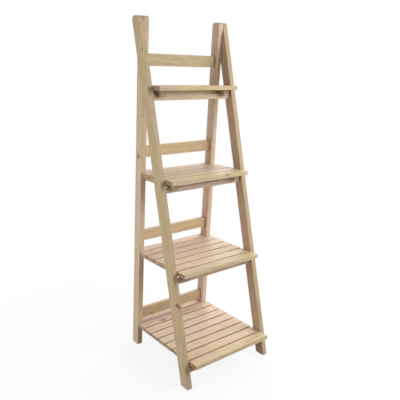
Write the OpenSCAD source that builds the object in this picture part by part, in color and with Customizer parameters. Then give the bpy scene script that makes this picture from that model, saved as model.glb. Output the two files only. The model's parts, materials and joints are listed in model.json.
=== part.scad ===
// Four-tier plant ladder stand: two pairs of legs that lean against each other, and slatted shelves
// that hook over the front rails and turn on pins in the rear legs.
// +Z is up, the front faces -Y, and the origin is on the floor at the middle of the footprint.

/* [Overall] */
// Height of the leg tops above the floor
stand_h = 1076; // [1000:1:1150]
// Clear width between the two front legs
inner_w = 300; // [240:1:420]

/* [Legs] */
// Width of every leg, seen from the side
leg_w = 33; // [30:0.5:38]
// Thickness of every leg, seen from the front
leg_t = 18; // [16:0.5:24]
// Lean of the front legs from upright, in degrees
front_lean = 13.05; // [12:0.05:15]
// Lean of the rear legs from upright, in degrees
rear_lean = 3.6; // [3:0.05:5]
// Radius of the rounded corners at the leg tops
leg_top_r = 11; // [4:0.5:12]
// Chamfer along the edges of the legs, slats and rails
edge = 0.8; // [0.3:0.1:1.5]
// Running gap between a front leg and the rear leg beside it
leg_gap = 0.5; // [0.3:0.1:2]

/* [Shelves] */
// Height of the bottom shelf's top face
first_shelf_z = 81.5; // [70:0.5:110]
// Distance of the top shelf's top face below the leg tops
top_shelf_drop = 195; // [180:0.5:230]
// How far each front slat stands out in front of the front legs
front_reach = 35; // [28:0.5:45]
// Width of a slat
slat_w = 35.5; // [30:0.5:45]
// Thickness of a slat
slat_t = 13; // [10:0.5:18]
// Gap between neighbouring slats
slat_gap = 5.4; // [3:0.1:10]
// Gap between the end of a slat and the leg beside it
slat_end_gap = 1; // [0.5:0.1:3]
// Least gap between the last long slat and the rear legs
slat_leg_gap = 1; // [0.5:0.1:3]

/* [Bearers and battens] */
// Width of a bearer, seen from the front
bearer_w = 20; // [16:0.5:30]
// Height of a bearer
bearer_h = 14; // [11:0.5:20]
// Running gap between a bearer and the rear leg beside it
bearer_gap = 0.5; // [0.3:0.1:2]
// Distance of the bearers' front ends behind the front slat's edge
bearer_inset = 21; // [10:0.5:26]
// Depth of the hook that drops in front of the front rail
hook_drop = 4.5; // [3:0.5:8]
// Gap between the hook and the front rail
hook_gap = 0.6; // [0.4:0.1:2]
// Gap between a bearer and the rail that it rests on
rest_gap = 0.2; // [0.1:0.1:0.5]
// Radius of a bearer's rounded lower corners
bearer_r = 2.5; // [1:0.5:3]
// Least length of a bearer behind its pin
bearer_tail = 9; // [8:0.5:14]
// Depth of the batten under the second slat, from front to back
batten_d = 13; // [10:0.5:18]

/* [Rails] */
// Height of a front rail
front_rail_h = 15; // [12:0.5:25]
// Depth of a front rail, from front to back
front_rail_d = 13; // [11:0.5:18]
// Height of a back rail
back_rail_h = 35.5; // [28:0.5:45]
// Thickness of a back rail
back_rail_d = 13; // [10:0.5:18]
// Space between each shelf and the back rail above it, from the bottom shelf up
back_rail_gap = [13, 34, 47, 56.5]; // [8:0.5:70]

/* [Pins and dowels] */
// Distance of the top pins below the leg tops
pivot_drop = 16; // [13:0.5:24]
// Diameter of the top pins, which the front legs turn on
top_pin_d = 8; // [6:0.5:10]
// Diameter of the shelf pins, which the bearers turn on
shelf_pin_d = 6; // [4:0.5:7]
// Diameter of the dowels in the rail ends
dowel_d = 6; // [5:0.5:8]
// Chamfer around the ends of the pins and dowels
pin_chamfer = 0.7; // [0.2:0.1:1.2]
// Depth of every bore in a leg
leg_bore = 12; // [8:0.5:13]
// Depth of a pin's bore in its bearer
bearer_bore = 10; // [6:0.5:12]
// Depth of a dowel's bore in its rail
rail_bore = 14; // [10:0.5:20]
// Distance between the two dowels in the end of a back rail
dowel_pitch = 18; // [14:0.5:20]
// Radial clearance around a pin in the piece that turns on it
running_fit = 0.05; // [0.02:0.01:0.1]
// Radial room for glue around a fixed pin or dowel
glue_fit = 0.03; // [0.02:0.01:0.1]
// Space left at the blind end of every bore
bore_end_gap = 0.5; // [0.2:0.1:1.5]

/* [Hidden] */
$fn = 48;
ARC_STEPS = 8;
SHELVES = ["bottom", "lower", "upper", "top"];
SIDES = ["left", "right"];
LEVELS = [0:len(SHELVES) - 1];
OVERCUT = 1;
LEG_COLOR = [0.82, 0.70, 0.53];
SLAT_COLOR = [0.87, 0.77, 0.64];
RAIL_COLOR = [0.78, 0.66, 0.49];
BEARER_COLOR = [0.72, 0.60, 0.44];
DOWEL_COLOR = [0.80, 0.72, 0.58];

// Across the stand, from its middle
rear_leg_outer_x = inner_w / 2 - leg_gap;
rear_leg_inner_x = rear_leg_outer_x - leg_t;
bearer_outer_x = rear_leg_inner_x - bearer_gap;
bearer_inner_x = bearer_outer_x - bearer_w;
long_slat_half = inner_w / 2 - slat_end_gap;
short_slat_half = rear_leg_inner_x - slat_end_gap;

// From front to back, measured from the front edge of the front feet. Both pairs of legs are centred
// on the top pins.
front_leg_depth = leg_w / cos(front_lean);
rear_leg_depth = leg_w / cos(rear_lean);
pivot_z = stand_h - pivot_drop;
pivot_y = front_leg_center(pivot_z);
slat_pitch = slat_w + slat_gap;
shelf_rise = (stand_h - top_shelf_drop - first_shelf_z) / (len(SHELVES) - 1);

function front_leg_edge(z) = z * tan(front_lean);
function front_leg_center(z) = front_leg_edge(z) + front_leg_depth / 2;
function rear_leg_center(z) = pivot_y + (pivot_z - z) * tan(rear_lean);
function rear_leg_edge(z) = rear_leg_center(z) - rear_leg_depth / 2;

// Each shelf starts in front of the front legs. Long slats fill it as far as the rear legs, and one
// short slat follows between them.
function shelf_z(i) = first_shelf_z + i * shelf_rise;
function shelf_front(i) = front_leg_edge(shelf_z(i)) - front_reach;
function long_slats(i) =
    floor((rear_leg_edge(shelf_z(i)) - slat_leg_gap - shelf_front(i) + slat_gap) / slat_pitch);
function slat_count(i) = long_slats(i) + 1;
function slat_center(i, k) = shelf_front(i) + (k - 1) * slat_pitch + slat_w / 2;
function shelf_back(i) = slat_center(i, slat_count(i)) + slat_w / 2;

// Bearers lie under the slats and over the front rails
function bearer_top(i) = shelf_z(i) - slat_t;
function bearer_under(i) = bearer_top(i) - bearer_h;
function shelf_pin_z(i) = bearer_top(i) - bearer_h / 2;
function shelf_pin_y(i) = rear_leg_center(shelf_pin_z(i));
function bearer_back(i) = max(shelf_back(i) - edge, shelf_pin_y(i) + bearer_tail);
function front_rail_z(i) = bearer_under(i) - rest_gap - front_rail_h / 2;
function front_rail_y(i) = front_leg_center(front_rail_z(i));
function back_rail_z(i) = shelf_z(i) + back_rail_gap[i] + back_rail_h / 2;
function back_rail_y(i) = rear_leg_center(back_rail_z(i));

// The footprint's middle is the origin
front_most = min([0, for (i = LEVELS) shelf_front(i)]);
back_most = max([rear_leg_center(0) + rear_leg_depth / 2, for (i = LEVELS) bearer_back(i),
                 for (i = LEVELS) shelf_back(i)]);
middle_y = (front_most + back_most) / 2;

// Points along the rounded corner at p between the edges to a and b
function corner(a, p, b, r) =
    let (u = (a - p) / norm(a - p), v = (b - p) / norm(b - p))
    let (turn = 180 - acos(u * v), half = 90 - turn / 2)
    let (c = p + (u + v) / norm(u + v) * r / sin(half))
    let (from = p + u * r / tan(half) - c, to = p + v * r / tan(half) - c)
    [for (k = [0:ARC_STEPS])
        c + (sin((1 - k / ARC_STEPS) * turn) * from + sin(k / ARC_STEPS * turn) * to) / sin(turn)];

// Outline through points [y, z, r], each corner rounded to its r
function rounded(points) =
    let (n = len(points), at = [for (p = points) [p[0], p[1]]])
    [for (i = [0:n - 1])
        each points[i][2] == 0 ? [at[i]]
            : corner(at[(i + n - 1) % n], at[i], at[(i + 1) % n], points[i][2])];

// Section of a bar, w by h, with its four edges chamfered
function bar_section(w, h) =
    [for (s = [[1, 1], [-1, 1], [-1, -1], [1, -1]])
        each s[0] * s[1] > 0
            ? [[s[0] * w / 2, s[1] * (h / 2 - edge)], [s[0] * (w / 2 - edge), s[1] * h / 2]]
            : [[s[0] * (w / 2 - edge), s[1] * h / 2], [s[0] * w / 2, s[1] * (h / 2 - edge)]]];

module placed() {
    translate([0, -middle_y, 0]) children();
}

// Pieces are drawn for the right-hand side and mirrored for the left
module handed(side) {
    mirror([side == "left" ? 1 : 0, 0, 0]) children();
}

module on_both_sides() {
    for (s = SIDES) handed(s) children();
}

// A [y, z] outline, extruded across the stand from x0 to x1
module slab(outline, x0, x1) {
    translate([x0, 0, 0]) rotate([90, 0, 90]) linear_extrude(x1 - x0) polygon(outline);
}

// A round bore across the stand from x0 to x1
module bore(y, z, d, x0, x1) {
    translate([x0, y, z]) rotate([0, 90, 0]) cylinder(d = d, h = x1 - x0);
}

// A pin or dowel across the stand from x0 to x1, with chamfered ends
module pin(y, z, d, x0, x1) {
    h = x1 - x0;
    r = d / 2;
    c = pin_chamfer;
    translate([x0, y, z]) rotate([0, 90, 0]) rotate_extrude()
        polygon([[0, 0], [r - c, 0], [r, c], [r, h - c], [r - c, h], [0, h]]);
}

// A bar across the stand, centred at y and z and leaning back by lean
module crossbar(w, h, half, y, z, lean = 0) {
    translate([0, y, z]) rotate([lean, 0, 0]) slab(bar_section(w, h), -half, half);
}

// Cutters for the four long edges of a leg that is centred on the Z axis
module edge_cutters() {
    for (sx = [0, 1], sy = [0, 1])
        mirror([sx, 0, 0]) mirror([0, sy, 0]) translate([leg_t / 2, leg_w / 2, 0])
            linear_extrude(3 * stand_h, center = true)
                polygon([[-edge - OVERCUT, OVERCUT], [OVERCUT, -edge - OVERCUT],
                         [OVERCUT, OVERCUT]]);
}

// A leg that leans by slope (in degrees, positive when its top is further back), with its foot and
// top cut level and its inner face at x
module leg_blank(x, foot_y, slope) {
    half = leg_w / cos(slope) / 2;
    top_y = foot_y + stand_h * tan(slope);
    difference() {
        slab(rounded([[foot_y - half, 0, 0], [foot_y + half, 0, 0],
                      [top_y + half, stand_h, leg_top_r], [top_y - half, stand_h, leg_top_r]]),
             x, x + leg_t);
        translate([x + leg_t / 2, foot_y, 0]) rotate([-slope, 0, 0]) edge_cutters();
    }
}

// The two dowel positions at the end of a back rail
module at_back_dowels(i) {
    translate([0, back_rail_y(i), back_rail_z(i)]) rotate([rear_lean, 0, 0])
        for (s = [-1, 1]) translate([0, 0, s * dowel_pitch / 2]) children();
}

module front_leg(side) {
    color(LEG_COLOR) placed() handed(side) difference() {
        leg_blank(inner_w / 2, front_leg_center(0), front_lean);
        bore(pivot_y, pivot_z, top_pin_d + 2 * running_fit,
             inner_w / 2 - OVERCUT, inner_w / 2 + leg_bore);
        for (i = LEVELS)
            bore(front_rail_y(i), front_rail_z(i), dowel_d + 2 * glue_fit,
                 inner_w / 2 - OVERCUT, inner_w / 2 + leg_bore);
    }
}

module rear_leg(side) {
    color(LEG_COLOR) placed() handed(side) difference() {
        leg_blank(rear_leg_inner_x, rear_leg_center(0), -rear_lean);
        bore(pivot_y, pivot_z, top_pin_d + 2 * glue_fit,
             rear_leg_outer_x - leg_bore, rear_leg_outer_x + OVERCUT);
        for (i = LEVELS) {
            bore(shelf_pin_y(i), shelf_pin_z(i), shelf_pin_d + 2 * glue_fit,
                 rear_leg_inner_x - OVERCUT, rear_leg_inner_x + leg_bore);
            at_back_dowels(i)
                bore(0, 0, dowel_d + 2 * glue_fit,
                     rear_leg_inner_x - OVERCUT, rear_leg_inner_x + leg_bore);
        }
    }
}

module front_rail(i) {
    color(RAIL_COLOR) placed() difference() {
        crossbar(front_rail_d, front_rail_h, inner_w / 2, front_rail_y(i), front_rail_z(i));
        on_both_sides()
            bore(front_rail_y(i), front_rail_z(i), dowel_d + 2 * glue_fit,
                 inner_w / 2 - rail_bore, inner_w / 2 + OVERCUT);
    }
}

module back_rail(i) {
    color(RAIL_COLOR) placed() difference() {
        crossbar(back_rail_d, back_rail_h, rear_leg_inner_x,
                 back_rail_y(i), back_rail_z(i), rear_lean);
        on_both_sides() at_back_dowels(i)
            bore(0, 0, dowel_d + 2 * glue_fit,
                 rear_leg_inner_x - rail_bore, rear_leg_inner_x + OVERCUT);
    }
}

// A bearer runs under the slats from its hook, in front of the front rail, to its pin
module bearer(i, side) {
    y0 = shelf_front(i) + bearer_inset;
    y1 = front_rail_y(i) - front_rail_d / 2 - hook_gap;
    y2 = bearer_back(i);
    z0 = bearer_under(i) - hook_drop;
    z1 = bearer_under(i);
    z2 = bearer_top(i);
    color(BEARER_COLOR) placed() handed(side) difference() {
        slab(rounded([[y0, z0, bearer_r], [y1, z0, bearer_r], [y1, z1, 0],
                      [y2, z1, bearer_r], [y2, z2, 0], [y0, z2, 0]]),
             bearer_inner_x, bearer_outer_x);
        bore(shelf_pin_y(i), shelf_pin_z(i), shelf_pin_d + 2 * running_fit,
             bearer_outer_x - bearer_bore, bearer_outer_x + OVERCUT);
    }
}

module batten(i) {
    color(BEARER_COLOR) placed()
        crossbar(batten_d, bearer_h, bearer_inner_x, slat_center(i, 2), shelf_pin_z(i));
}

// Slats are numbered from the front
module slat(i, k) {
    half = k == slat_count(i) ? short_slat_half : long_slat_half;
    color(SLAT_COLOR) placed()
        crossbar(slat_w, slat_t, half, slat_center(i, k), shelf_z(i) - slat_t / 2);
}

module top_pins() {
    color(DOWEL_COLOR) placed() on_both_sides()
        pin(pivot_y, pivot_z, top_pin_d, rear_leg_outer_x - leg_bore + bore_end_gap,
            inner_w / 2 + leg_bore - bore_end_gap);
}

module shelf_pins() {
    color(DOWEL_COLOR) placed() on_both_sides() for (i = LEVELS)
        pin(shelf_pin_y(i), shelf_pin_z(i), shelf_pin_d, bearer_outer_x - bearer_bore + bore_end_gap,
            rear_leg_inner_x + leg_bore - bore_end_gap);
}

module front_rail_dowels() {
    color(DOWEL_COLOR) placed() on_both_sides() for (i = LEVELS)
        pin(front_rail_y(i), front_rail_z(i), dowel_d, inner_w / 2 - rail_bore + bore_end_gap,
            inner_w / 2 + leg_bore - bore_end_gap);
}

module back_rail_dowels() {
    color(DOWEL_COLOR) placed() on_both_sides() for (i = LEVELS) at_back_dowels(i)
        pin(0, 0, dowel_d, rear_leg_inner_x - rail_bore + bore_end_gap,
            rear_leg_inner_x + leg_bore - bore_end_gap);
}

for (s = SIDES) {
    front_leg(s);
    rear_leg(s);
}
for (i = LEVELS) {
    front_rail(i);
    back_rail(i);
    batten(i);
    for (s = SIDES)
        bearer(i, s);
    for (k = [1:slat_count(i)])
        slat(i, k);
}
top_pins();
shelf_pins();
front_rail_dowels();
back_rail_dowels();
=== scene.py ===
"""The looks of a four-tier plant ladder stand, built around its packed frame."""

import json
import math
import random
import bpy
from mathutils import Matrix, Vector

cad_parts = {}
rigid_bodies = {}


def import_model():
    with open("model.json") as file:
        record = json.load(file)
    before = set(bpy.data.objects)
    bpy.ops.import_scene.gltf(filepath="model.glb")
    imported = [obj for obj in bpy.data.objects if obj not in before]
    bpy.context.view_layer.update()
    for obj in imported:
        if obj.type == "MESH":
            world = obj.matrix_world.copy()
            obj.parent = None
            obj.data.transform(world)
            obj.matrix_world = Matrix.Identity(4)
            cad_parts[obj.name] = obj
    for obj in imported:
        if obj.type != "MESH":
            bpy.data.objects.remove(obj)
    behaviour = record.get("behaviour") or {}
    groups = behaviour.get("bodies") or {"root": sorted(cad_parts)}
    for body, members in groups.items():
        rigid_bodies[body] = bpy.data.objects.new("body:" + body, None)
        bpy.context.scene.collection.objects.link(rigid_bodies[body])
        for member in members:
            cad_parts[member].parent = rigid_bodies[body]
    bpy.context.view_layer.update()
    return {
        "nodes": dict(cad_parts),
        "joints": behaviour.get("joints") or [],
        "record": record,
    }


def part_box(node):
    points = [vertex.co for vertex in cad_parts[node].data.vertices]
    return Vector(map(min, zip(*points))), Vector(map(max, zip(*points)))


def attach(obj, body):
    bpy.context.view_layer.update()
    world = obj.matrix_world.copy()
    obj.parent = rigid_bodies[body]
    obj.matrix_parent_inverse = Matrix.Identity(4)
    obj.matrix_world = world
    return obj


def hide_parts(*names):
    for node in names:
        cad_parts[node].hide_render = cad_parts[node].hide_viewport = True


bl_info = {
    "name": "Plant ladder stand",
    "version": (1, 0, 0),
    "blender": (4, 5, 0),
    "location": "View3D > Sidebar > Plant stand",
    "description": "Dresses a folding plant ladder stand in bare pine and sets up its studio",
    "category": "Object",
}

from typing import NamedTuple

import bmesh
import bpy
from bpy.props import FloatProperty, FloatVectorProperty, IntProperty, PointerProperty
from mathutils import Matrix, Vector

for leftover in list(bpy.data.objects):
    bpy.data.objects.remove(leftover)
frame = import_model()
NODES = frame["nodes"]
RECORD = frame["record"]
JOINTS = {joint["name"]: joint for joint in frame["joints"]}
FOLD_PIN = Vector(JOINTS["fold"]["pos_m"])
BODY_OF = {node: body for body, nodes in RECORD["behaviour"]["bodies"].items() for node in nodes}

X = Vector((1, 0, 0))
Y = Vector((0, 1, 0))
Z = Vector((0, 0, 1))
MM = 0.001
MERGE = 0.01 * MM
SIDES = ("left", "right")
WHITE = (1, 1, 1, 1)


# ---------------------------------------------------------------- how the boards differ


class Tone(NamedTuple):
    """How one board looks beside the others.

    Rosiness runs from straw wood at 0 to rosy wood at 1. The painted shade darkens the narrow
    flanks in the gaps and the ends at the joints, where shade falls."""

    rosiness: float = 0.4
    lightness: float = 1.0
    dusty_flanks: float = 0.0
    painted_end_shade: float = 0.0


class ShelfPaintedLight(NamedTuple):
    """Painted light and shade from shelf to shelf: how much lighter or darker the boards are
    painted for how the light falls on that shelf, and how much painted shade darkens their flanks.
    """

    front_rail: float
    back_rail: float
    slats: float
    painted_slat_shade: float
    bearer_dust: float = 0.0


FRONT_LEG = Tone(rosiness=0.1, lightness=0.84)
REAR_LEG = {
    "left": Tone(rosiness=0.6, lightness=0.99),
    "right": Tone(rosiness=0.8, lightness=1.06),
}
# Painted shade: the rails' ends are darkened where they meet the legs, and so are the front slats'
# ends, which lie in shade
FRONT_RAIL = Tone(rosiness=0.75, painted_end_shade=0.8)
BACK_RAIL = Tone(rosiness=0.15, painted_end_shade=0.8)
FRONT_SLAT = Tone(rosiness=0.15, lightness=1.03, painted_end_shade=0.4)
SLAT = Tone()
BATTEN = Tone(lightness=1.1)
# Painted shade: the bearers are painted darker for the shade that they lie in under the slats
BEARER = Tone(lightness=0.82)
# Painted light and shade: each shelf's rails and slats are painted lighter or darker for how the
# light falls on that shelf, and the flanks of the slats and of the top bearers are darkened as
# painted shade
SHELVES = {
    "bottom": ShelfPaintedLight(front_rail=1.10, back_rail=0.82, slats=1.05, painted_slat_shade=0.38),
    "lower": ShelfPaintedLight(front_rail=0.98, back_rail=1.02, slats=1.08, painted_slat_shade=0.38),
    "upper": ShelfPaintedLight(front_rail=0.95, back_rail=1.05, slats=0.98, painted_slat_shade=0.2),
    "top": ShelfPaintedLight(front_rail=1.06, back_rail=0.92, slats=0.95, painted_slat_shade=0.2, bearer_dust=0.5),
}

# How much rosier a shelf's slats grow from the front to the back
SLAT_BLUSH = 0.5

# Where the tree's heart lay beside two of the boards: how far off across the board and through it,
# and how far out its heartwood reaches, in metres. The other boards are sapwood all through, cut
# at a distance from the heart that luck draws.
HEARTS = {
    "front_leg_right": (0.004, 0.046, 0.043),
    "rear_leg_right": (-0.006, 0.040, 0.032),
}
SAPWOOD = 0.0
HEART_DISTANCE = (0.025, 0.075)

# How far up the tree a board may come from, in metres, and how much luck changes its ring spacing,
# its lightness and its rosiness
UP_THE_TREE = (1, 40)
SPACING_LUCK = (0.75, 1.25)
LIGHTNESS_LUCK = (0.98, 1.02)
ROSINESS_LUCK = (-0.25, 0.05)

# Knots: the board, where the knot meets its surface, its reach along the grain, across the board's
# width and through its thickness, in metres, and how strongly it shows. The last seven are on faces
# that the photo doesn't show.
KNOTS = (
    ("front_leg_left", (-0.1675, 0.0630, 0.984), (0.0036, 0.0024, 0.0026), 0.65),
    ("front_leg_left", (-0.1680, -0.0640, 0.3073), (0.0044, 0.0036, 0.0200), 0.8),
    ("front_leg_left", (-0.1640, -0.1065, 0.2530), (0.0048, 0.0060, 0.0036), 1.0),
    ("front_leg_left", (-0.1575, -0.1085, 0.2450), (0.0034, 0.0050, 0.0040), 0.9),
    ("front_leg_right", (0.1500, -0.1189, 0.0876), (0.0060, 0.0050, 0.0040), 0.5),
    ("rear_leg_left", (-0.1495, 0.1221, 0.6642), (0.0058, 0.0042, 0.0200), 1.0),
    ("rear_leg_left", (-0.1463, 0.0976, 0.7937), (0.0030, 0.0034, 0.0020), 0.5),
    ("upper_slat_1", (0.0628, -0.0578, 0.6114), (0.0044, 0.0054, 0.0028), 0.55),
    ("bottom_slat_8", (-0.0665, 0.1128, 0.0815), (0.0070, 0.0055, 0.0200), 0.6),
    ("bottom_back_rail", (-0.0867, 0.1516, 0.0947), (0.0054, 0.0040, 0.0200), 0.7),
    ("front_leg_right", (0.1680, -0.0560, 0.4300), (0.0052, 0.0042, 0.0050), 0.9),
    ("front_leg_right", (0.1680, 0.0500, 0.8400), (0.0034, 0.0026, 0.0040), 0.7),
    ("rear_leg_right", (0.1495, 0.1330, 0.5600), (0.0056, 0.0046, 0.0050), 0.9),
    ("upper_back_rail", (-0.0550, 0.1280, 0.6820), (0.0062, 0.0048, 0.0040), 0.8),
    ("bottom_back_rail", (0.0450, 0.1635, 0.1160), (0.0070, 0.0056, 0.0040), 0.9),
    ("lower_slat_4", (-0.0520, 0.0230, 0.3350), (0.0070, 0.0056, 0.0040), 0.9),
    ("bottom_slat_6", (0.0640, 0.0380, 0.0685), (0.0058, 0.0046, 0.0040), 0.8),
)


# ---------------------------------------------------------------- settings


class PineSettings(bpy.types.PropertyGroup):
    """Bare pine, planed and unfinished"""

    straw: FloatVectorProperty(
        name="Straw wood", description="Colour of the yellower boards", subtype="COLOR_GAMMA",
        size=3, min=0, max=1, default=(0.840, 0.757, 0.578))
    rosy: FloatVectorProperty(
        name="Rosy wood", description="Colour of the pinker boards", subtype="COLOR_GAMMA",
        size=3, min=0, max=1, default=(0.865, 0.764, 0.688))
    heartwood: FloatVectorProperty(
        name="Heartwood", description="Colour of the wood near the tree's heart",
        subtype="COLOR_GAMMA", size=3, min=0, max=1, default=(0.80, 0.670, 0.580))
    late: FloatVectorProperty(
        name="Late wood", description="Colour of the growth lines", subtype="COLOR_GAMMA",
        size=3, min=0, max=1, default=(0.69, 0.545, 0.39))
    knot_heart: FloatVectorProperty(
        name="Knot heart", description="Colour at the middle of a knot", subtype="COLOR_GAMMA",
        size=3, min=0, max=1, default=(0.36, 0.25, 0.16))
    knot_rim: FloatVectorProperty(
        name="Knot rim", description="Colour around a knot, and tint of the worn edges",
        subtype="COLOR_GAMMA", size=3, min=0, max=1, default=(0.62, 0.47, 0.32))
    end_grain: FloatVectorProperty(
        name="End grain", description="Colour of the sawn ends", subtype="COLOR_GAMMA",
        size=3, min=0, max=1, default=(0.69, 0.59, 0.49))
    # Painted shade: the colour that darkens the slats' flanks in the gaps and the boards' ends at
    # the joints, where shade falls
    dust: FloatVectorProperty(
        name="Painted shade", description="Tint of the wood in the gaps and at the joints",
        subtype="COLOR_GAMMA", size=3, min=0, max=1, default=(0.57, 0.49, 0.36))
    ring_spacing: FloatProperty(
        name="Ring spacing", description="Distance between growth rings", subtype="DISTANCE",
        unit="LENGTH", min=0.5 * MM, max=10 * MM, default=3.2 * MM)
    ring_strength: FloatProperty(
        name="Ring strength", description="How strongly the growth lines show", subtype="FACTOR",
        min=0, max=1, default=0.5)
    fibre_strength: FloatProperty(
        name="Fibre strength", description="How strongly the fine fibres show", subtype="FACTOR",
        min=0, max=1, default=0.32)
    end_strength: FloatProperty(
        name="End grain strength", description="How strongly the sawn ends take their colour",
        subtype="FACTOR", min=0, max=1, default=0.85)
    edge_wear: FloatProperty(
        name="Edge wear", description="How much the handled edges darken", subtype="FACTOR",
        min=0, max=1, default=0.12)
    roughness: FloatProperty(
        name="Roughness", description="Roughness of a planed face", subtype="FACTOR",
        min=0, max=1, default=0.62)
    sheen: FloatProperty(
        name="Sheen", description="How much a planed face reflects", subtype="FACTOR",
        min=0, max=1, default=0.3)
    bump: FloatProperty(
        name="Grain depth", description="Height of the grain's relief", subtype="DISTANCE",
        unit="LENGTH", min=0, max=0.5 * MM, default=0.12 * MM)


class EdgeSettings(bpy.types.PropertyGroup):
    """How the boards' edges are broken"""

    radius: FloatProperty(
        name="Edge radius", description="Softening of every edge", subtype="DISTANCE",
        unit="LENGTH", min=0.05 * MM, max=0.35 * MM, default=0.3 * MM)
    segments: IntProperty(
        name="Segments", description="Facets across a softened edge", min=1, max=6, default=2)
    sharp_angle: FloatProperty(
        name="Sharp angle", description="Edges that turn by more than this are softened",
        subtype="ANGLE", unit="ROTATION", min=0.2, max=1.5, default=math.radians(25))


class BradSettings(bpy.types.PropertyGroup):
    """The brads that hold the slats, driven up through the bearers"""

    head: FloatProperty(
        name="Head diameter", description="Diameter of a brad's head", subtype="DISTANCE",
        unit="LENGTH", min=1 * MM, max=5 * MM, default=2.8 * MM)
    proud: FloatProperty(
        name="Proud", description="How far a head stands out of the wood", subtype="DISTANCE",
        unit="LENGTH", min=0.02 * MM, max=0.15 * MM, default=0.1 * MM)
    steel: FloatVectorProperty(
        name="Steel", description="Colour of the heads", subtype="COLOR_GAMMA",
        size=3, min=0, max=1, default=(0.62, 0.62, 0.60))


class StudioSettings(bpy.types.PropertyGroup):
    """Camera, lamps and floor"""

    camera: FloatVectorProperty(
        name="Camera", description="Where the camera stands", subtype="TRANSLATION",
        unit="LENGTH", size=3, default=(-0.9555, -1.1969, 0.9211))
    yaw: FloatProperty(
        name="Yaw", description="Camera's turn from straight back towards the right",
        subtype="ANGLE", unit="ROTATION", default=math.radians(38.617))
    pitch: FloatProperty(
        name="Pitch", description="Camera's tilt above the horizon", subtype="ANGLE",
        unit="ROTATION", default=math.radians(-14.397))
    roll: FloatProperty(
        name="Roll", description="Camera's roll about its own axis", subtype="ANGLE",
        unit="ROTATION", default=math.radians(0.865))
    focal_length: FloatProperty(
        name="Focal length", description="In millimetres, on a 36 mm sensor",
        min=10, max=200, default=44.79)
    front: FloatProperty(
        name="Front lamp", description="Power of the softbox in front, on the right",
        subtype="POWER", min=0, max=500, default=13.8)
    right: FloatProperty(
        name="Right lamp", description="Power of the softbox on the right", subtype="POWER",
        min=0, max=500, default=13.4)
    back: FloatProperty(
        name="Back lamp", description="Power of the softbox behind, on the right",
        subtype="POWER", min=0, max=500, default=29)
    left: FloatProperty(
        name="Left lamp", description="Power of the low softbox on the left", subtype="POWER",
        min=0, max=500, default=14.2)
    ambient: FloatProperty(
        name="Ambient", description="Strength of the light from all round", min=0, max=2,
        default=0.36)
    floor_glow: FloatProperty(
        name="Floor glow", description="How far the floor hides the shadows", subtype="FACTOR",
        min=0, max=1, default=0.87)


SETTINGS = {
    "stand_pine": PineSettings,
    "stand_edges": EdgeSettings,
    "stand_brads": BradSettings,
    "stand_studio": StudioSettings,
}


# ---------------------------------------------------------------- boards


class Board:
    """A piece of timber: its own directions, its middle and its size.

    Its own directions run along the grain, across its width and through its thickness."""

    def __init__(self, node, along, across):
        self.node = node
        self.along = along.normalized()
        through = self.along.cross(across).normalized()
        self.across = through.cross(self.along)
        self.turn = Matrix((self.along, self.across, through))
        corners = [self.turn @ vertex.co for vertex in NODES[node].data.vertices]
        low = Vector(map(min, zip(*corners)))
        high = Vector(map(max, zip(*corners)))
        self.size = high - low
        self.middle = self.turn.transposed() @ ((low + high) / 2)

    def inside(self, point):
        """A point of the model in the board's own directions, from its middle."""
        return self.turn @ (Vector(point) - self.middle)


def leg_direction(node):
    """The way a leg leans: from the middle of its foot to the top pin."""
    foot = [vertex.co.y for vertex in NODES[node].data.vertices if vertex.co.z < MERGE]
    return Vector((0, FOLD_PIN.y - (min(foot) + max(foot)) / 2, FOLD_PIN.z))


def slats_of(shelf):
    """A shelf's slats, from the front to the back."""
    return sorted(node for node in NODES if node.startswith(f"{shelf}_slat_"))


# ---------------------------------------------------------------- shader nodes


# How far apart a tree's nodes lie in the editor
NODE_SPACING = 190

# How squarely a face must meet a direction to begin to face it, and to face it wholly
SQUARENESS = (0.55, 0.90)


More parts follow.
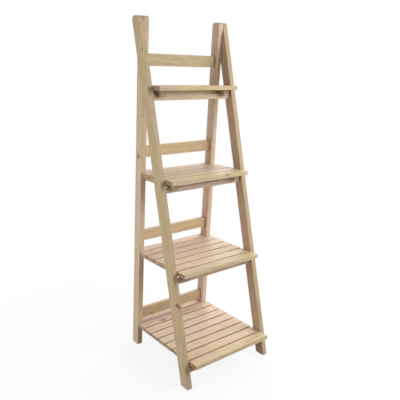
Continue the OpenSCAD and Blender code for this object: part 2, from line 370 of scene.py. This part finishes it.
class Wiring:
    """Adds nodes to a tree, so that a material reads as a list of steps."""

    def __init__(self, tree):
        self.tree = tree

    def add(self, kind, inputs=(), **settings):
        """A node with its settings made, and its inputs fed by name or number."""
        node = self.tree.nodes.new(kind)
        node.location = (NODE_SPACING * len(self.tree.nodes), 0)
        for name, value in settings.items():
            setattr(node, name, value)
        for name, value in dict(inputs).items():
            self.feed(node.inputs[name], value)
        return node

    def feed(self, socket, value):
        """Links another node's output to a socket, or sets the socket's own value."""
        if isinstance(value, bpy.types.NodeSocket):
            self.tree.links.new(value, socket)
        else:
            socket.default_value = value

    def math(self, operation, *values):
        """Reckons with plain values, which may be numbers or sockets."""
        node = self.add("ShaderNodeMath", enumerate(values), operation=operation)
        return node.outputs["Value"]

    def vector(self, operation, *values):
        """Reckons with vectors or colours."""
        node = self.add("ShaderNodeVectorMath", enumerate(values), operation=operation)
        single = operation in ("LENGTH", "DOT_PRODUCT")
        return node.outputs["Value" if single else "Vector"]

    def step(self, value, start, end):
        """0 at start and before it, 1 at end and past it, smooth between them."""
        node = self.add("ShaderNodeMapRange", {"Value": value, "From Min": start, "From Max": end},
                        interpolation_type="SMOOTHSTEP")
        return node.outputs["Result"]

    def noise(self, coords, waves, detail=2.0):
        """Noise with a number of waves in a metre along each of the coords."""
        stretched = self.vector("MULTIPLY", coords, waves)
        return self.add("ShaderNodeTexNoise",
                        {"Vector": stretched, "Scale": 1.0, "Detail": detail}).outputs

    def mix(self, factor, first, second, blend="MIX"):
        """Mixes colours, whose sockets on the Mix node are 6 and 7, and 2 on its way out."""
        node = self.add("ShaderNodeMix", {0: factor, 6: first, 7: second},
                        data_type="RGBA", blend_type=blend)
        return node.outputs[2]

    def facing(self, normal, direction):
        """1 where the surface faces along a direction or against it, 0 where it lies beside it."""
        squareness = self.math("ABSOLUTE", self.vector("DOT_PRODUCT", normal, direction))
        return self.step(squareness, *SQUARENESS)

    def surface(self, inputs):
        """Ends a material in the Principled shader."""
        shader = self.add("ShaderNodeBsdfPrincipled", inputs)
        self.add("ShaderNodeOutputMaterial", {"Surface": shader.outputs["BSDF"]})


def emptied(owner):
    """The wiring for a new material or world, with its tree cleared."""
    owner.use_nodes = True
    owner.node_tree.nodes.clear()
    return Wiring(owner.node_tree)


FLOAT = "NodeSocketFloat"
VECTOR = "NodeSocketVector"


def new_group(name, inputs, outputs):
    """A shader node group with named sockets, and the wiring to fill it."""
    tree = bpy.data.node_groups.new(name, "ShaderNodeTree")
    for label, kind in inputs.items():
        tree.interface.new_socket(name=label, in_out="INPUT", socket_type=kind)
    for label in outputs:
        tree.interface.new_socket(name=label, in_out="OUTPUT", socket_type=FLOAT)
    wiring = Wiring(tree)
    given = wiring.add("NodeGroupInput").outputs
    made = wiring.add("NodeGroupOutput").inputs
    return wiring, given, made


def group_node(wiring, name, build, inputs):
    """Places a group, building it the first time that it is asked for."""
    if name not in bpy.data.node_groups:
        build(name)
    return wiring.add("ShaderNodeGroup", inputs, node_tree=bpy.data.node_groups[name]).outputs


# ---------------------------------------------------------------- pine figure


# The waves below are a number in a metre along, across and through the board.

# How finely, how raggedly and how far the rings stray from round, and where the heartwood begins
# and is full, in metres inside its outline
WANDER_WAVES = (2.4, 11, 11)
WANDER_DETAIL = 1.5
WANDER = (0, 0.022, 0.022)
HEARTWOOD_FADE = (-0.004, 0.005)

# In a ring, which grows from 0 to 1: how steeply its late wood darkens, between which places it
# breaks off, and how strong the faintest ring is
LATE_RISE = 2.6
LATE_BREAK = (1.0, 0.90)
FAINTEST_RING = 0.4

# The fibres' layers: fine fibres, long streaks and mottling, with their waves, detail and strength
FIBRES = (
    ((14, 620, 620), 3.0, 1.0),
    ((3, 150, 150), 2.0, 0.7),
    ((32, 130, 130), 3.0, 1.3),
)

# The broad patches: their waves, and between which values of the noise they fade in
PATCH_WAVES = (4.5, 30, 30)
PATCH_FADE = (0.35, 0.65)

# What the fibres and the late wood add to the relief
FIBRE_RELIEF = 0.6
LATE_RELIEF = 0.5


def build_pine_figure(name):
    """Growth rings round a wandering heart, fine fibres and broad patches.

    Coords run along, across and through the board, from the tree's heart. Pull is how far a knot
    pushes the rings aside."""
    w, given, made = new_group(
        name,
        {"Coords": VECTOR, "Ring Spacing": FLOAT, "Heart Radius": FLOAT, "Pull": FLOAT},
        ("Heartwood", "Late Wood", "Fibre", "Patch", "Relief"))
    coords = given["Coords"]
    wander = w.noise(coords, WANDER_WAVES, WANDER_DETAIL)["Color"]
    wander = w.vector("SUBTRACT", wander, (0.5, 0.5, 0.5))
    strayed = w.vector("ADD", coords, w.vector("MULTIPLY", wander, WANDER))
    radius = w.vector("LENGTH", w.vector("MULTIPLY", strayed, (0, 1, 1)))
    heartwood = w.step(w.math("SUBTRACT", given["Heart Radius"], radius), *HEARTWOOD_FADE)

    ring = w.math("DIVIDE", w.math("ADD", radius, given["Pull"]), given["Ring Spacing"])
    growth = w.math("FRACT", ring)
    line = w.math("MULTIPLY", w.math("POWER", growth, LATE_RISE), w.step(growth, *LATE_BREAK))
    year = w.add("ShaderNodeTexWhiteNoise", {"W": w.math("FLOOR", ring)}, noise_dimensions="1D")
    strength = w.math("MULTIPLY_ADD", year.outputs["Value"], 1 - FAINTEST_RING, FAINTEST_RING)
    late = w.math("MULTIPLY", line, strength)

    fibre = 0.0
    for waves, detail, share in FIBRES:
        layer = w.math("SUBTRACT", w.noise(coords, waves, detail)["Fac"], 0.5)
        fibre = w.math("MULTIPLY_ADD", layer, share, fibre)
    relief = w.math("MULTIPLY_ADD", fibre, FIBRE_RELIEF, w.math("MULTIPLY", late, LATE_RELIEF))

    w.feed(made["Heartwood"], heartwood)
    w.feed(made["Late Wood"], late)
    w.feed(made["Fibre"], fibre)
    w.feed(made["Patch"], w.step(w.noise(coords, PATCH_WAVES)["Fac"], *PATCH_FADE))
    w.feed(made["Relief"], relief)


# A knot, which is measured in its own reaches: how finely and how far its outline is ragged, how
# close and how dark its own rings are, and where its heart, its rim and its push on the grain
# begin and are full
KNOT_RAGGED_WAVES = (420, 420, 420)
KNOT_RAGGEDNESS = 0.5
KNOT_RINGS = 21.0
KNOT_RING_DEPTH = 0.12
KNOT_HEART_FADE = (0.9, 0.45)
KNOT_RIM_FADE = (1.9, 0.8)
KNOT_PULL_FADE = (3.6, 0.3)

# How the push is shaped along, across and through the board, and how far it is at most, in metres
KNOT_PULL_SHAPE = (0.3, 1, 1)
KNOT_PULL = 0.008


def build_knot(name):
    """A knot: its dark heart, its rim, and how far it pushes the grain aside."""
    w, given, made = new_group(
        name, {"Coords": VECTOR, "Centre": VECTOR, "Reach": VECTOR}, ("Heart", "Rim", "Pull"))
    away = w.vector("SUBTRACT", given["Coords"], given["Centre"])
    ragged = w.math("SUBTRACT", w.noise(given["Coords"], KNOT_RAGGED_WAVES)["Fac"], 0.5)
    far = w.math("MULTIPLY_ADD", ragged, KNOT_RAGGEDNESS,
                 w.vector("LENGTH", w.vector("DIVIDE", away, given["Reach"])))
    rings = w.math("MULTIPLY_ADD", w.math("SINE", w.math("MULTIPLY", far, KNOT_RINGS)),
                   KNOT_RING_DEPTH, 1 - KNOT_RING_DEPTH)
    stretched = w.vector("MULTIPLY", away, KNOT_PULL_SHAPE)
    flow = w.vector("LENGTH", w.vector("DIVIDE", stretched, given["Reach"]))
    w.feed(made["Heart"], w.math("MULTIPLY", w.step(far, *KNOT_HEART_FADE), rings))
    w.feed(made["Rim"], w.step(far, *KNOT_RIM_FADE))
    w.feed(made["Pull"], w.math("MULTIPLY", w.step(flow, *KNOT_PULL_FADE), KNOT_PULL))


# The wear on the edges: its waves in a metre, how far in from the edge it reaches everywhere, and
# how much further where it is widest; and where the band of painted shade beside an end begins and
# is full
SCUFF_WAVES = (55, 55, 55)
SCUFF_LEAST = 0.0002
SCUFF_SPREAD = 0.0034
END_SHADE_FADE = (0.0022, 0.0008)


def build_board_edges(name):
    """Where a board's edges and ends are, from its own coords and half its size."""
    w, given, made = new_group(name, {"Coords": VECTOR, "Half Size": VECTOR}, ("Edge", "End"))
    from_middle = w.vector("ABSOLUTE", given["Coords"])
    depth = w.add("ShaderNodeSeparateXYZ", {
        0: w.vector("SUBTRACT", given["Half Size"], from_middle)}).outputs
    near = w.math("MINIMUM", depth["Y"], depth["Z"])
    far = w.math("MAXIMUM", depth["Y"], depth["Z"])
    second_nearest = w.math("MAXIMUM", near, w.math("MINIMUM", far, depth["X"]))
    scuff = w.noise(given["Coords"], SCUFF_WAVES)["Fac"]
    reach = w.math("MULTIPLY_ADD", scuff, SCUFF_SPREAD, SCUFF_LEAST)
    w.feed(made["Edge"], w.step(second_nearest, reach, 0.0))
    w.feed(made["End"], w.step(depth["X"], *END_SHADE_FADE))


# ---------------------------------------------------------------- materials


# How much the patches add to a board's rosiness, and how the sawn ends and the late wood differ
# from the planed face in roughness
PATCH_BLUSH = 0.4
SAWN_ROUGHER = 0.2
LATE_SMOOTHER = 0.08

# How many beech rings take the room of one of pine
BEECH_RINGS = 4

# The mottling of the brads' steel: its waves in a metre, how dark its dark places are, and the
# roughness there and what the light places add to it
STEEL_WAVES = (900, 900, 900)
STEEL_DARK = 0.6
STEEL_ROUGHNESS = 0.3
STEEL_ROUGHER = 0.3


def linear(color):
    """A colour as the eye reads it (sRGB), in the light that the shader works with."""
    red, green, blue = (c / 12.92 if c <= 0.04045 else ((c + 0.055) / 1.055) ** 2.4 for c in color)
    return red, green, blue, 1.0


def shade(color, by):
    """A colour made darker or lighter."""
    return tuple(channel * by for channel in color[:3]) + (1.0,)


def knots_of(board, w, coords):
    """Where a board's knots have their hearts and rims, and how far they push the rings.

    All three are 0 for a board that has none."""
    heart, rim, pull = 0.0, 0.0, 0.0
    for node, place, reach, strength in KNOTS:
        if node == board.node:
            knot = group_node(w, "Knot", build_knot, {
                "Coords": coords, "Centre": board.inside(place), "Reach": reach})
            heart = w.math("MAXIMUM", heart, w.math("MULTIPLY", knot["Heart"], strength))
            rim = w.math("MAXIMUM", rim, w.math("MULTIPLY", knot["Rim"], strength))
            pull = w.math("ADD", pull, knot["Pull"])
    return heart, rim, pull


def pine(board, tone):
    """Bare pine for one board, cut from its own place in the tree."""
    look = bpy.context.scene.stand_pine
    luck = random.Random(board.node)
    material = bpy.data.materials.new(f"pine_{board.node}")
    w = emptied(material)
    where = w.add("ShaderNodeTexCoord").outputs
    coords = w.add("ShaderNodeMapping", {
        "Vector": where["Object"],
        "Location": -(board.turn @ board.middle),
        "Rotation": board.turn.to_euler()}).outputs["Vector"]

    angle = luck.uniform(0, math.tau)
    away = luck.uniform(*HEART_DISTANCE)
    beside = (away * math.cos(angle), away * math.sin(angle), SAPWOOD)
    across, through, heart_radius = HEARTS.get(board.node, beside)
    from_heart = Vector((luck.uniform(*UP_THE_TREE), -across, -through))
    heart, rim, pull = knots_of(board, w, coords)
    figure = group_node(w, "Pine Figure", build_pine_figure, {
        "Coords": w.vector("ADD", coords, from_heart),
        "Ring Spacing": look.ring_spacing * luck.uniform(*SPACING_LUCK),
        "Heart Radius": heart_radius,
        "Pull": pull})
    edges = group_node(w, "Board Edges", build_board_edges, {
        "Coords": coords, "Half Size": board.size / 2})
    end = w.facing(where["Normal"], board.along)
    flank = w.facing(where["Normal"], board.across)

    light = tone.lightness * luck.uniform(*LIGHTNESS_LUCK)
    blush = w.math("MULTIPLY_ADD", figure["Patch"], PATCH_BLUSH,
                   tone.rosiness + luck.uniform(*ROSINESS_LUCK))
    color = w.mix(blush, shade(linear(look.straw), light), shade(linear(look.rosy), light))
    color = w.mix(figure["Heartwood"], color, shade(linear(look.heartwood), light))
    color = w.mix(w.math("MULTIPLY", figure["Late Wood"], look.ring_strength),
                  color, linear(look.late))
    fibres = w.math("MULTIPLY_ADD", figure["Fibre"], look.fibre_strength, 1.0)
    color = w.vector("MULTIPLY", color, fibres)
    if heart:
        color = w.mix(rim, color, linear(look.knot_rim))
        color = w.mix(heart, color, linear(look.knot_heart))
    color = w.mix(w.math("MULTIPLY", end, look.end_strength), color, linear(look.end_grain))
    worn = w.math("MULTIPLY", edges["Edge"], look.edge_wear)
    color = w.mix(worn, color, linear(look.knot_rim), "MULTIPLY")
    # Painted shade: the flanks in the gaps between the slats, and the ends where the rails and
    # slats meet the legs, are darkened where shade falls
    dust = w.math("MAXIMUM", w.math("MULTIPLY", flank, tone.dusty_flanks),
                  w.math("MULTIPLY", edges["End"], tone.painted_end_shade))
    color = w.mix(dust, color, linear(look.dust), "MULTIPLY")

    planed = w.math("MULTIPLY_ADD", figure["Late Wood"], -LATE_SMOOTHER, look.roughness)
    bump = w.add("ShaderNodeBump", {
        "Height": figure["Relief"], "Distance": look.bump, "Strength": 1.0})
    w.surface({
        "Base Color": color,
        "Roughness": w.math("MULTIPLY_ADD", end, SAWN_ROUGHER, planed),
        "Specular IOR Level": look.sheen,
        "Normal": bump.outputs["Normal"]})
    return material


def turned_beech():
    """Turned beech, for the pins and dowels."""
    look = bpy.context.scene.stand_pine
    material = bpy.data.materials.new("turned_beech")
    w = emptied(material)
    figure = group_node(w, "Pine Figure", build_pine_figure, {
        "Coords": w.add("ShaderNodeTexCoord").outputs["Object"],
        "Ring Spacing": look.ring_spacing / BEECH_RINGS,
        "Heart Radius": SAPWOOD,
        "Pull": 0.0})
    w.surface({
        "Base Color": w.mix(figure["Late Wood"], linear(look.rosy), linear(look.late)),
        "Roughness": look.roughness})
    return material


def brad_steel():
    """Dull drawn steel, for the brads' heads."""
    steel = linear(bpy.context.scene.stand_brads.steel)
    material = bpy.data.materials.new("brad_steel")
    w = emptied(material)
    coords = w.add("ShaderNodeTexCoord").outputs["Object"]
    mottle = w.noise(coords, STEEL_WAVES)["Fac"]
    w.surface({
        "Base Color": w.mix(mottle, shade(steel, STEEL_DARK), steel),
        "Metallic": 1.0,
        "Roughness": w.math("MULTIPLY_ADD", mottle, STEEL_ROUGHER, STEEL_ROUGHNESS)})
    return material


# ---------------------------------------------------------------- pieces


def finished(bm, name, material, body):
    """Makes a bmesh an object that rides on a body."""
    mesh = bpy.data.meshes.new(name)
    bmesh.ops.recalc_face_normals(bm, faces=bm.faces)
    for face in bm.faces:
        face.smooth = True
    bm.to_mesh(mesh)
    bm.free()
    mesh.materials.append(material)
    piece = bpy.data.objects.new(name, mesh)
    bpy.context.scene.collection.objects.link(piece)
    piece.modifiers.new("Flat faces", "WEIGHTED_NORMAL")
    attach(piece, body)
    return piece


# Faces of the frame's loose triangles that turn by less than this are one face
FLAT = math.radians(0.5)


def timber(node, along, across, tone):
    """One board: the frame's own shape with every edge softened, in pine."""
    softened = bpy.context.scene.stand_edges
    bm = bmesh.new()
    bm.from_mesh(NODES[node].data)
    bmesh.ops.remove_doubles(bm, verts=bm.verts, dist=MERGE)
    bmesh.ops.dissolve_limit(bm, angle_limit=FLAT, verts=bm.verts, edges=bm.edges)
    sharp = [edge for edge in bm.edges
             if edge.is_manifold and edge.calc_face_angle() > softened.sharp_angle]
    bmesh.ops.bevel(bm, geom=sharp, offset=softened.radius, offset_type="OFFSET",
                    segments=softened.segments, profile=0.5, affect="EDGES", material=-1,
                    clamp_overlap=True)
    wood = pine(Board(node, along, across), tone)
    piece = finished(bm, f"{node}_board", wood, BODY_OF[node])
    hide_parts(node)


class STAND_OT_legs(bpy.types.Operator):
    """Dress the four legs, whose grain runs up their lean"""

    bl_idname = "stand.legs"
    bl_label = "Legs"

    def execute(self, context):
        for side in SIDES:
            front, rear = f"front_leg_{side}", f"rear_leg_{side}"
            timber(front, leg_direction(front), Y, FRONT_LEG)
            timber(rear, leg_direction(rear), Y, REAR_LEG[side])
        return {"FINISHED"}


class STAND_OT_rails(bpy.types.Operator):
    """Dress the rails that cross between the legs; the back rails lean as the rear legs do"""

    bl_idname = "stand.rails"
    bl_label = "Rails"

    def execute(self, context):
        lean = leg_direction("rear_leg_left")
        for shelf, shelf_painted_light in SHELVES.items():
            # Each shelf's rails are painted lighter or darker for how the light falls on that shelf
            front = FRONT_RAIL._replace(lightness=shelf_painted_light.front_rail)
            timber(f"{shelf}_front_rail", X, Z, front)
            back = BACK_RAIL._replace(lightness=shelf_painted_light.back_rail)
            timber(f"{shelf}_back_rail", X, lean, back)
        return {"FINISHED"}


class STAND_OT_slats(bpy.types.Operator):
    """Dress the slats of all four shelves, the front one yellower and the others ever rosier"""

    bl_idname = "stand.slats"
    bl_label = "Slats"

    def execute(self, context):
        for shelf, shelf_painted_light in SHELVES.items():
            slats = slats_of(shelf)
            timber(slats[0], X, Y, FRONT_SLAT)
            for place, node in enumerate(slats[1:], start=1):
                # Painted light and shade: each shelf's slats are painted lighter or darker for how
                # the light falls on it, and their flanks are darkened in the gaps
                timber(node, X, Y, SLAT._replace(
                    rosiness=SLAT.rosiness + SLAT_BLUSH * place / len(slats),
                    lightness=shelf_painted_light.slats, dusty_flanks=shelf_painted_light.painted_slat_shade))
        return {"FINISHED"}


class STAND_OT_bearers(bpy.types.Operator):
    """Dress the hooked bearers and the battens between them"""

    bl_idname = "stand.bearers"
    bl_label = "Bearers and battens"

    def execute(self, context):
        for shelf, shelf_painted_light in SHELVES.items():
            timber(f"{shelf}_batten", X, Y, BATTEN)
            for side in SIDES:
                # Painted shade: the top shelf's bearers have their flanks darkened for the shade
                # under the slats
                timber(f"{shelf}_bearer_{side}", Y, X,
                       BEARER._replace(dusty_flanks=shelf_painted_light.bearer_dust))
        return {"FINISHED"}


class STAND_OT_pins(bpy.types.Operator):
    """Finish the turned pins and dowels"""

    bl_idname = "stand.pins"
    bl_label = "Pins and dowels"

    def execute(self, context):
        beech = turned_beech()
        for node in ("top_pins", "shelf_pins", "front_rail_dowels", "back_rail_dowels"):
            NODES[node].data.materials[0] = beech
        return {"FINISHED"}


# A brad's head: how many sides it has, and how much of what stands out its broken edges take
HEAD_SIDES = 12
HEAD_BREAK = 0.3


def brad_head(bm, brads, x, y, z):
    """A brad's head, half sunk in the wood, with its rim and sides broken."""
    made = bmesh.ops.create_cone(
        bm, cap_ends=True, segments=HEAD_SIDES, radius1=brads.head / 2, radius2=brads.head / 2,
        depth=2 * brads.proud, matrix=Matrix.Translation((x, y, z)))
    rim = {edge for vertex in made["verts"] for edge in vertex.link_edges
           if vertex.co.z < z and edge.calc_length() < brads.head / 3}
    bmesh.ops.bevel(bm, geom=list(rim), offset=HEAD_BREAK * brads.proud, segments=1, profile=0.5,
                    affect="EDGES", material=-1)


class STAND_OT_brads(bpy.types.Operator):
    """Drive the brads up through the bearers, one into each slat; the first goes in at the hook"""

    bl_idname = "stand.brads"
    bl_label = "Brads"

    def execute(self, context):
        brads = context.scene.stand_brads
        steel = brad_steel()
        for shelf in SHELVES:
            bm = bmesh.new()
            rail_low, rail_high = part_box(f"{shelf}_front_rail")
            for side in SIDES:
                bearer = f"{shelf}_bearer_{side}"
                low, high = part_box(bearer)
                underside = min(vertex.co.z for vertex in NODES[bearer].data.vertices
                                if vertex.co.y > rail_high.y)
                middle = (low.x + high.x) / 2
                brad_head(bm, brads, middle, (low.y + rail_low.y) / 2, low.z)
                for node in slats_of(shelf)[1:]:
                    slat_low, slat_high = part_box(node)
                    brad_head(bm, brads, middle, (slat_low.y + slat_high.y) / 2, underside)
            finished(bm, f"{shelf}_brads", steel, f"{shelf}_shelf")
        return {"FINISHED"}


# ---------------------------------------------------------------- studio


# The softboxes' places and sizes, in metres, and the point that they shine on
SOFTBOXES = {
    "front": ((0.98, -1.39, 1.15), 0.9),
    "right": ((1.54, -0.72, 1.15), 0.9),
    "back": ((1.56, 1.09, 1.30), 1.4),
    "left": ((-1.70, 0.00, 0.50), 1.2),
}
MIDDLE = Vector((0, 0, 0.5))

# The sensor that the camera's focal length goes with, in millimetres
SENSOR_WIDTH = 36

# The floor: how far it reaches each way and between which distances from the middle its shadow
# fades out, in metres, and how light it is for the light that bounces and for the eye
FLOOR_REACH = 12
SHADOW_FADE = (0.3, 1.1)
FLOOR_BOUNCE = 0.3
FLOOR_WHITE = 0.92


def softbox(name, place, size, power):
    """A square lamp that shines on the middle of the stand, and isn't seen itself."""
    light = bpy.data.lights.new(name, "AREA")
    light.shape = "SQUARE"
    light.size = size
    light.energy = power
    lamp = bpy.data.objects.new(name, light)
    lamp.location = place
    lamp.rotation_euler = (MIDDLE - lamp.location).to_track_quat("-Z", "Y").to_euler()
    lamp.visible_camera = False
    bpy.context.scene.collection.objects.link(lamp)


def seen(w):
    """1 for the eye, for gloss and through glass, 0 for the light that bounces."""
    path = w.add("ShaderNodeLightPath").outputs
    return w.math("MAXIMUM", path["Is Camera Ray"],
                  w.math("MAXIMUM", path["Is Glossy Ray"], path["Is Transmission Ray"]))


def seen_white(w, lit, white, glow):
    """Mixes a shader with plain white where it is seen, by glow."""
    factor = w.math("MULTIPLY", seen(w), glow)
    return w.add("ShaderNodeMixShader", {0: factor, 1: lit, 2: white}).outputs[0]


def white_world(ambient):
    """Weak even light from all round, seen as plain white."""
    world = bpy.data.worlds.new("studio")
    w = emptied(world)
    lit, white = (w.add("ShaderNodeBackground", {"Color": WHITE, "Strength": strength}).outputs[0]
                  for strength in (ambient, 1.0))
    w.add("ShaderNodeOutputWorld", {"Surface": seen_white(w, lit, white, 1.0)})
    bpy.context.scene.world = world


def white_floor(glow):
    """A floor that is seen almost white near the stand, with a faint shadow, and white far off."""
    bm = bmesh.new()
    bmesh.ops.create_grid(bm, x_segments=1, y_segments=1, size=FLOOR_REACH)
    mesh = bpy.data.meshes.new("floor")
    bm.to_mesh(mesh)
    bm.free()
    material = bpy.data.materials.new("floor_white")
    w = emptied(material)
    tone = w.mix(seen(w), shade(WHITE, FLOOR_BOUNCE), shade(WHITE, FLOOR_WHITE))
    lit = w.add("ShaderNodeBsdfDiffuse", {"Color": tone}).outputs[0]
    white = w.add("ShaderNodeEmission", {"Color": WHITE, "Strength": 1.0}).outputs[0]
    away = w.vector("LENGTH", w.add("ShaderNodeTexCoord").outputs["Object"])
    hiding = w.math("MULTIPLY_ADD", w.step(away, *SHADOW_FADE), 1 - glow, glow)
    w.add("ShaderNodeOutputMaterial", {"Surface": seen_white(w, lit, white, hiding)})
    mesh.materials.append(material)
    floor = bpy.data.objects.new("floor", mesh)
    bpy.context.scene.collection.objects.link(floor)


class STAND_OT_studio(bpy.types.Operator):
    """Set up the camera, the softboxes and the white floor"""

    bl_idname = "stand.studio"
    bl_label = "Studio"

    def execute(self, context):
        studio = context.scene.stand_studio
        lens = bpy.data.cameras.new("camera")
        lens.sensor_width = SENSOR_WIDTH
        lens.lens = studio.focal_length
        camera = bpy.data.objects.new("camera", lens)
        turn = (Matrix.Rotation(-studio.yaw, 4, "Z")
                @ Matrix.Rotation(math.pi / 2 + studio.pitch, 4, "X")
                @ Matrix.Rotation(studio.roll, 4, "Z"))
        camera.matrix_world = Matrix.Translation(studio.camera) @ turn
        context.scene.collection.objects.link(camera)
        context.scene.camera = camera
        for name, (place, size) in SOFTBOXES.items():
            softbox(name, place, size, getattr(studio, name))
        white_world(studio.ambient)
        white_floor(studio.floor_glow)
        context.scene.view_settings.view_transform = "Standard"
        return {"FINISHED"}


# ---------------------------------------------------------------- add-on


OPERATORS = (STAND_OT_legs, STAND_OT_rails, STAND_OT_slats, STAND_OT_bearers, STAND_OT_pins,
             STAND_OT_brads, STAND_OT_studio)


class STAND_PT_panel(bpy.types.Panel):
    """The settings, and a button for each kind of piece"""

    bl_idname = "STAND_PT_panel"
    bl_label = "Plant ladder stand"
    bl_space_type = "VIEW_3D"
    bl_region_type = "UI"
    bl_category = "Plant stand"

    def draw(self, context):
        for name, group in SETTINGS.items():
            box = self.layout.box()
            box.label(text=group.__doc__)
            for setting in group.__annotations__:
                box.prop(getattr(context.scene, name), setting)
        for operator in OPERATORS:
            self.layout.operator(operator.bl_idname)


CLASSES = (*SETTINGS.values(), *OPERATORS, STAND_PT_panel)


def register():
    """Adds the settings, the operators and the panel."""
    for kind in CLASSES:
        bpy.utils.register_class(kind)
    for name, group in SETTINGS.items():
        setattr(bpy.types.Scene, name, PointerProperty(type=group))


def unregister():
    """Takes them out again."""
    for name in SETTINGS:
        delattr(bpy.types.Scene, name)
    for kind in reversed(CLASSES):
        bpy.utils.unregister_class(kind)


def main():
    """Dresses the stand and sets up its studio."""
    register()
    bpy.ops.stand.legs()
    bpy.ops.stand.rails()
    bpy.ops.stand.slats()
    bpy.ops.stand.bearers()
    bpy.ops.stand.pins()
    bpy.ops.stand.brads()
    bpy.ops.stand.studio()


if __name__ == "__main__":
    main()
